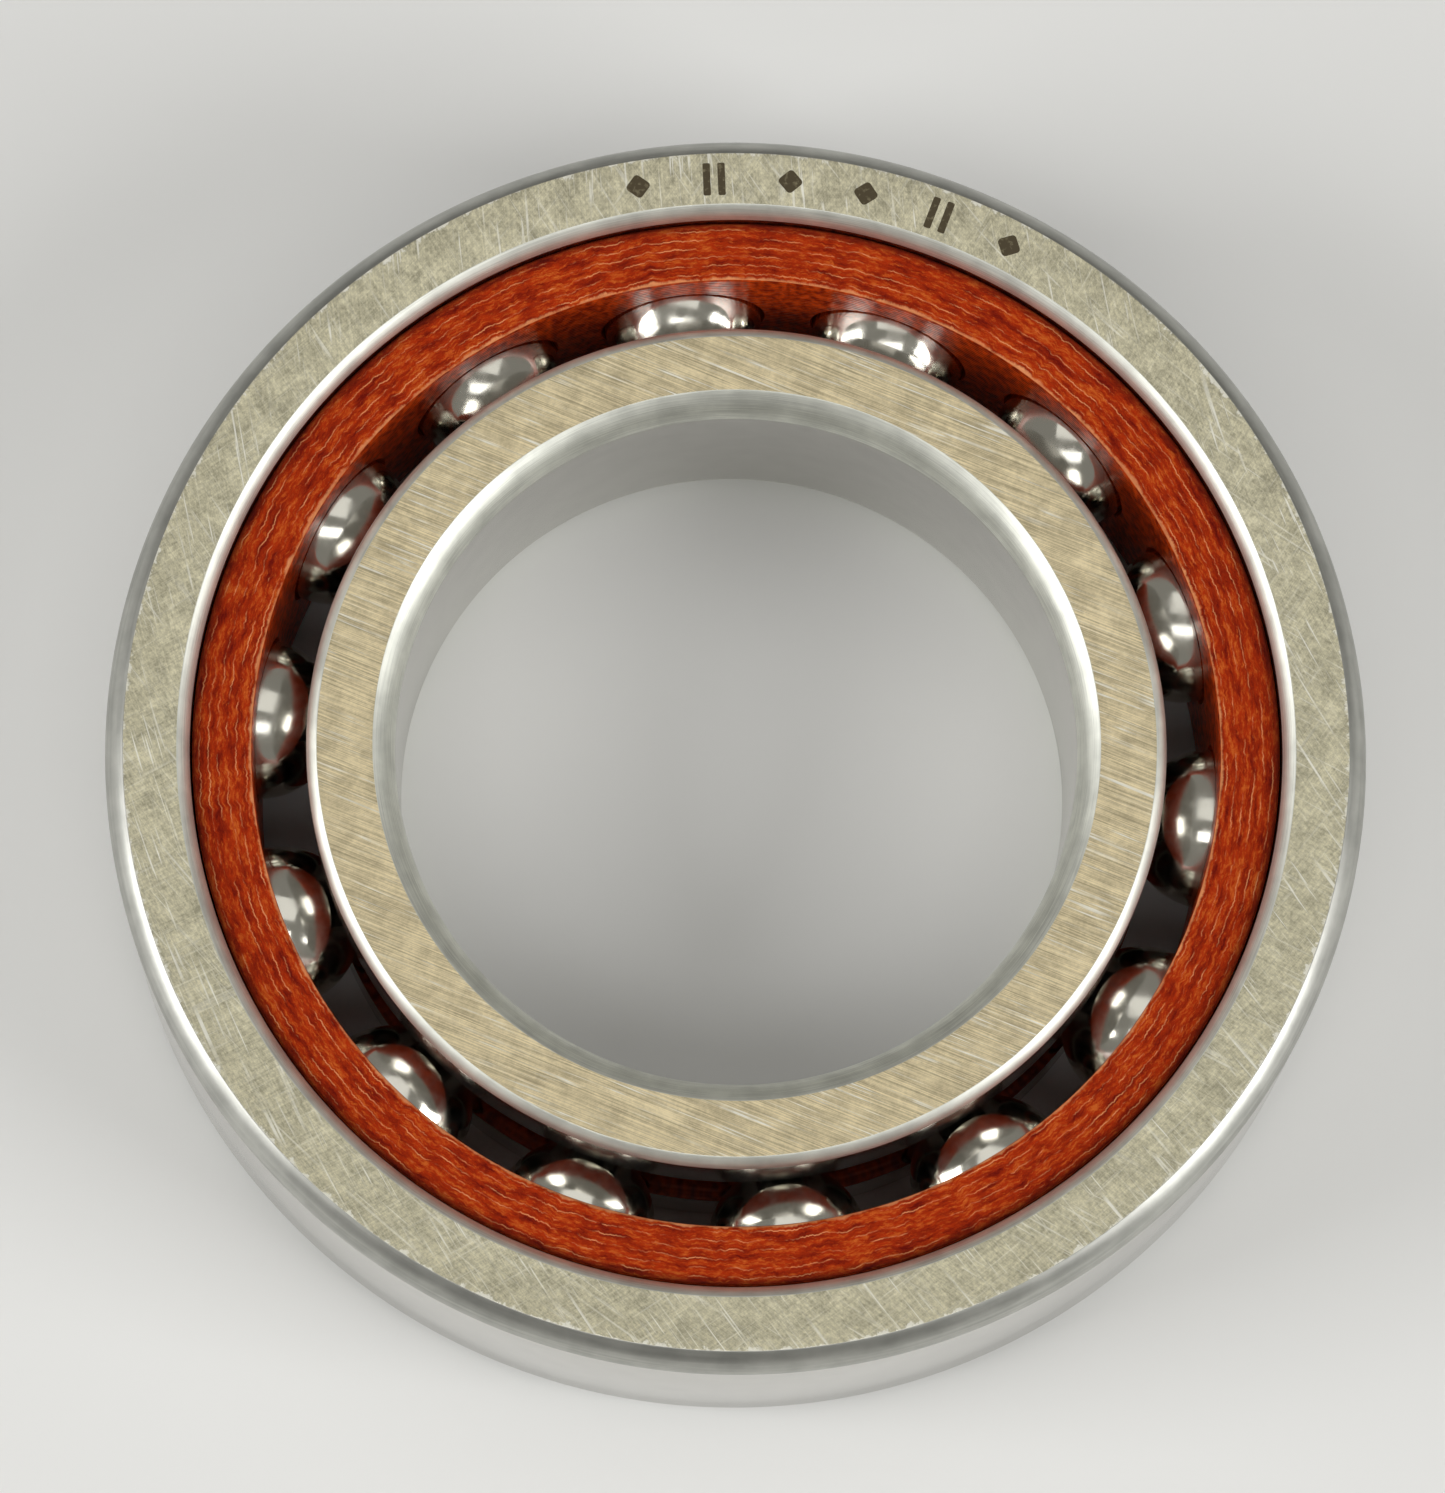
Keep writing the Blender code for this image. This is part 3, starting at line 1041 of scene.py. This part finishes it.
@dataclass
class InnerRing:
    """Inner ring, with a full shoulder on each side of its groove.

    Attributes:
        balls: The balls that run on it.
        bore_radius: Radius of the bore.
        half_width: Half the width.
        bore_corner: Radial and axial size of the bore's corners.
        corner_rise: How far the bore's corners bulge.
        shoulder_radius: Radius of both shoulders.
        face_radius: Outside radius of both faces.
        bevel: Axial size of the bevel between face and shoulder.
        bevel_rise: How far the bevel bulges.
        segments: Flats round the circle.
    """

    balls: BallSet
    bore_radius: float = 10.0
    half_width: float = 4.5
    bore_corner: Point = (0.64, 1.15)
    corner_rise: float = 0.17
    shoulder_radius: float = 12.6
    face_radius: float = 12.29
    bevel: float = 0.35
    bevel_rise: float = 0.04
    segments: int = 288

    def outline(self) -> Outline:
        """Draw the ring's outline.

        Returns:
            The outline, in millimetres.
        """
        balls = self.balls
        groove = balls.groove_centre(1)
        reach = balls.groove_reach(1, self.shoulder_radius)
        face, side = self.bore_radius + self.bore_corner[0], self.half_width - self.bore_corner[1]
        return (Outline()
                .line_to(self.face_radius, self.half_width)
                .bow_to(self.shoulder_radius, self.half_width - self.bevel, self.bevel_rise, 5)
                .groove(groove, -balls.groove_radius, groove[1] + reach, groove[1] - reach)
                .line_to(self.shoulder_radius, self.bevel - self.half_width)
                .bow_to(self.face_radius, -self.half_width, self.bevel_rise, 5)
                .line_to(face, -self.half_width)
                .bow_to(self.bore_radius, -side, self.corner_rise)
                .line_to(self.bore_radius, side)
                .bow_to(face, self.half_width, self.corner_rise))

    def zone_of(self, centre: Vector, normal: Vector) -> int:
        """Tell a mesh face's zone.

        Args:
            centre: The face's centre, in millimetres.
            normal: Its normal.

        Returns:
            The zone's number.
        """
        away = distance_from_axis(centre)
        outwards = normal.x * centre.x + normal.y * centre.y > 0
        if abs(normal.z) > LEVEL and abs(centre.z) > self.half_width - NEAR:
            return Zone.FACE.value
        if not outwards and away < self.bore_radius + NEAR:
            return Zone.BARREL.value
        if away < self.shoulder_radius - NEAR and abs(centre.z) < self.balls.groove_radius:
            return Zone.RACEWAY.value
        if outwards and away > self.shoulder_radius - NEAR:
            return Zone.BARREL.value
        return Zone.CORNER.value

    def build(self) -> None:
        """Turn the ring and dress it."""
        ring = turn_ring("inner_ring_ground", self.outline(), self.segments)
        dress(ring, [INNER_FACE, TURNED_CORNER, GROUND_BARREL, HONED_RACEWAY], self.zone_of)
        install(ring, "inner_ring", "inner_ring")


@dataclass
class Cage:
    """Cage turned from cloth laminate, with one round pocket bored through its wall for each ball.

    Attributes:
        balls: The balls that it spaces.
        inner_radius: Inside radius.
        outer_radius: Outside radius, which rides on the outer ring's land.
        half_width: Half the width.
        edge: Size of the broken inside edges.
        edge_rise: How far they bulge.
        outer_edge: Size of the broken outside edges.
        outer_edge_rise: How far they bulge.
        pocket_radius: Radius of a pocket.
        cut_start: Distance from the axis at which the pocket cutter starts.
        cut_end: Distance at which it ends.
        segments: Flats round the circle.
        pocket_sides: Flats round a pocket.
        smooth_angle: Turn past which an edge is sharp, in degrees.
    """

    balls: BallSet
    inner_radius: float = 14.2
    outer_radius: float = 15.94
    half_width: float = 3.87
    edge: float = 0.12
    edge_rise: float = 0.02
    outer_edge: float = 0.06
    outer_edge_rise: float = 0.01
    pocket_radius: float = 2.49
    cut_start: float = 13.4
    cut_end: float = 16.7
    segments: int = 280
    pocket_sides: int = 72
    smooth_angle: float = 25.0

    def outline(self) -> Outline:
        """Draw the blank's outline.

        Returns:
            The outline, in millimetres.
        """
        edge, outer_edge, half = self.edge, self.outer_edge, self.half_width
        return (Outline(edge_break=0.02)
                .line_to(self.outer_radius - outer_edge, half)
                .bow_to(self.outer_radius, half - outer_edge, self.outer_edge_rise, 3)
                .line_to(self.outer_radius, outer_edge - half)
                .bow_to(self.outer_radius - outer_edge, -half, self.outer_edge_rise, 3)
                .line_to(self.inner_radius + edge, -half)
                .bow_to(self.inner_radius, edge - half, self.edge_rise, 3)
                .line_to(self.inner_radius, half - edge)
                .bow_to(self.inner_radius + edge, half, self.edge_rise, 3))

    def pocket_cutter(self) -> Piece:
        """Make the boring tools for all the pockets.

        Returns:
            The tools, as one object.
        """
        cutters = []
        middle = (self.cut_start + self.cut_end) / 2 * MM
        depth = (self.cut_end - self.cut_start) * MM
        for name in self.balls.names():
            centre = self.balls.centre(name)
            angle = math.atan2(centre.y, centre.x)
            deselect_all()
            bpy.ops.mesh.primitive_cylinder_add(
                vertices=self.pocket_sides, radius=self.pocket_radius * MM, depth=depth,
                location=(middle * math.cos(angle), middle * math.sin(angle), 0),
                rotation=(0, math.pi / 2, angle))
            apply_place(bpy.context.object)
            cutters.append(bpy.context.object)
        return join("pocket_cutter", cutters)

    def zone_of(self, centre: Vector, normal: Vector) -> int:
        """Tell a cut end, where the plies show, from a turned or bored wall.

        Args:
            centre: The face's centre, in millimetres.
            normal: Its normal.

        Returns:
            0 for a cut end and 1 for a wall.
        """
        at_end = abs(centre.z) > self.half_width - self.edge - NEAR
        return 0 if at_end and abs(normal.z) > 0.5 else 1

    def build(self) -> None:
        """Turn the blank, bore the pockets and dress the cage."""
        cage = turn_ring("cage_laminate", self.outline(), self.segments)
        cutter = self.pocket_cutter()
        make_active(cage)
        bore = cage.modifiers.new("pockets", "BOOLEAN")
        bore.operation = "DIFFERENCE"
        bore.solver = "EXACT"
        bore.object = cutter
        bpy.ops.object.modifier_apply(modifier=bore.name)
        bpy.data.objects.remove(cutter, do_unlink=True)
        finish_mesh(cage, math.radians(self.smooth_angle))
        dress(cage, [CAGE_FACE, CAGE_WALL], self.zone_of)
        install(cage, "cage", "cage")


class Mark(Enum):
    """Plain shapes of the etched marks on the wide face."""

    LOZENGE = "lozenge"
    BARS = "bars"


@dataclass
class EtchedMarks:
    """Plain etched marks on the outer ring's wide face.

    Attributes:
        ring: The ring that carries them.
        middle_radius: Distance of the marks' middles from the axis.
        first_angle: Angle of the first mark, in degrees.
        pitch_angle: Angle from one mark to the next, in degrees.
        height: Radial size of a mark.
        bar_width: Width of a bar.
        proud: How far the marks stand over the face, so that they don't sink in it.
        round_share: Size of a slab's rounded corners, as a share of its smaller side.
        lozenge_share: Size of a lozenge, as a share of a bar's height.
        pattern: The marks in their order.
    """

    ring: OuterRing
    middle_radius: float = 17.13
    first_angle: float = 105.0
    pitch_angle: float = -7.6
    height: float = 1.0
    bar_width: float = 0.22
    proud: float = 0.004
    round_share: float = 0.2
    lozenge_share: float = 0.8
    pattern: tuple[Mark, ...] = (Mark.LOZENGE, Mark.BARS, Mark.LOZENGE) * 2

    def slab(self, size: Point, offset: float, spin: float, angle: float) -> Piece:
        """Make one thin slab of a mark.

        Args:
            size: Its size across and along the radius.
            offset: How far it stands beside the mark's middle.
            spin: Its own turn, in degrees.
            angle: Angle of the mark round the ring, in degrees.

        Returns:
            The slab, with its place in its mesh.
        """
        deselect_all()
        bpy.ops.mesh.primitive_plane_add(size=MM)
        slab = bpy.context.object
        bpy.ops.object.mode_set(mode="EDIT")
        bpy.ops.mesh.select_all(action="SELECT")
        bpy.ops.transform.resize(value=(size[0], size[1], 1), center_override=(0, 0, 0))
        bpy.ops.mesh.bevel(offset=min(size) * self.round_share * MM, segments=3, affect="VERTICES")
        bpy.ops.mesh.extrude_region_move(TRANSFORM_OT_translate={"value": (0, 0, 2 * self.proud * MM)})
        bpy.ops.object.mode_set(mode="OBJECT")
        own = Matrix.Translation((offset * MM, 0, 0)) @ Matrix.Rotation(math.radians(spin), 4, "Z")
        floor = (self.ring.half_width - self.proud) * MM
        place = Matrix.Rotation(math.radians(angle - 90), 4, "Z") @ Matrix.Translation(
            (0, self.middle_radius * MM, floor))
        slab.data.transform(place @ own)
        return slab

    def build(self) -> None:
        """Lay the marks round the face."""
        slabs = []
        for number, mark in enumerate(self.pattern):
            angle = self.first_angle + number * self.pitch_angle
            if mark is Mark.BARS:
                for side in (-1, 1):
                    slabs.append(self.slab((self.bar_width, self.height), side * self.bar_width, 0, angle))
            else:
                side = self.height / math.sqrt(2) * self.lozenge_share
                slabs.append(self.slab((side, side), 0, 45, angle))
        marks = join("etched_marks", slabs)
        finish_mesh(marks)
        marks.data.materials.clear()
        marks.data.materials.append(ETCH.material())
        install(marks, "outer_ring", None)


# ---- Stage, lights and camera ----

@dataclass(frozen=True)
class PaleFloor(Finish):
    """Matt painted board: pale, even, with the faintest mottle."""

    def draw(self, tree: Tree, shader: Node, place: Socket) -> None:
        """Draw the faint mottle."""
        mottle = add_node(tree, "TexNoise", {"Vector": place, "Scale": 0.02, "Detail": 2.0})
        tone = add_node(tree, "MapRange", {"Value": mottle, "To Min": 0.97, "To Max": 1.0})
        base = add_node(tree, "VectorMath", {
            0: linear_colour(self.colour)[:3], "Scale": tone}, operation="SCALE")
        tree.links.new(base, shader.inputs["Base Color"])


@dataclass(frozen=True)
class SoftBox:
    """A soft rectangular light aimed at the bearing.

    Attributes:
        name: Name of the light.
        azimuth: Direction that it stands in, in degrees from +X.
        elevation: Angle over the floor, in degrees.
        distance: Distance from the bearing.
        size: Width and height.
        brightness: Radiance of its surface.
    """

    name: str
    azimuth: float
    elevation: float
    distance: float
    size: Point
    brightness: float

    def build(self) -> None:
        """Set the light up."""
        lamp = bpy.data.lights.new(self.name, "AREA")
        lamp.shape = "RECTANGLE"
        lamp.size, lamp.size_y = self.size[0] * MM, self.size[1] * MM
        lamp.energy = self.brightness * math.pi * lamp.size * lamp.size_y
        turn, lift = math.radians(self.azimuth), math.radians(self.elevation)
        away = Vector((math.cos(turn) * math.cos(lift), math.sin(turn) * math.cos(lift), math.sin(lift)))
        light = bpy.data.objects.new(self.name, lamp)
        light.location = away * self.distance * MM
        light.rotation_mode = "QUATERNION"
        light.rotation_quaternion = away.to_track_quat("Z", "Y")
        bpy.context.collection.objects.link(light)


@dataclass(frozen=True)
class Studio:
    """Plain pale floor, soft light and the camera.

    Attributes:
        floor_size: Side of the floor.
        camera_place: Where the camera stands.
        camera_turn: Its turn about X, Y and Z, in degrees.
        lens: Its focal length on a 36 mm sensor.
        room_colour: Colour of the light from all round, sRGB hex.
        room_brightness: Its strength.
        lights: The soft boxes.
    """

    floor_size: float = 3000.0
    camera_place: tuple[float, float, float] = (0.0, -47.245, 215.484)
    camera_turn: tuple[float, float, float] = (12.53, -1.033, 5.138)
    lens: float = 178.4
    room_colour: str = "#e8e6e0"
    room_brightness: float = 0.3
    lights: tuple[SoftBox, ...] = (
        SoftBox("left_box", 196.0, 28.0, 420.0, (200.0, 260.0), 6.0),
        SoftBox("right_box", -18.0, 28.0, 420.0, (200.0, 260.0), 6.0),
        SoftBox("overhead_box", 85.0, 74.0, 520.0, (420.0, 300.0), 0.65),
        SoftBox("near_box", -90.0, 66.0, 480.0, (300.0, 120.0), 2.2),
    )

    def build(self) -> None:
        """Set up the floor, the light and the camera."""
        deselect_all()
        bpy.ops.mesh.primitive_plane_add(size=self.floor_size * MM, location=(0, 0, CAD_BOX[0].z))
        floor = bpy.context.object
        floor.name = "floor"
        floor.data.materials.append(PaleFloor("painted_board", "#ececea", 0.6, 0.0).material())
        for light in self.lights:
            light.build()
        world = bpy.data.worlds.new("room")
        world.use_nodes = True
        background = world.node_tree.nodes["Background"]
        background.inputs["Color"].default_value = linear_colour(self.room_colour)
        background.inputs["Strength"].default_value = self.room_brightness
        bpy.context.scene.world = world
        lens = bpy.data.cameras.new("camera")
        lens.lens = self.lens
        lens.sensor_width = 36.0
        lens.clip_start, lens.clip_end = 0.01, 10.0
        camera = bpy.data.objects.new("camera", lens)
        camera.location = Vector(self.camera_place) * MM
        camera.rotation_euler = [math.radians(turn) for turn in self.camera_turn]
        bpy.context.collection.objects.link(camera)
        bpy.context.scene.camera = camera
        bpy.context.scene.view_settings.view_transform = "Standard"


def main() -> None:
    """Build the bearing's looks, piece by piece, and its stage."""
    logging.basicConfig(level=logging.INFO, format="%(message)s", stream=sys.stdout)
    balls = BallSet()
    outer = OuterRing(balls)
    outer.build()
    InnerRing(balls).build()
    Cage(balls).build()
    balls.build()
    EtchedMarks(outer).build()
    Studio().build()


if __name__ == "__main__":
    main()
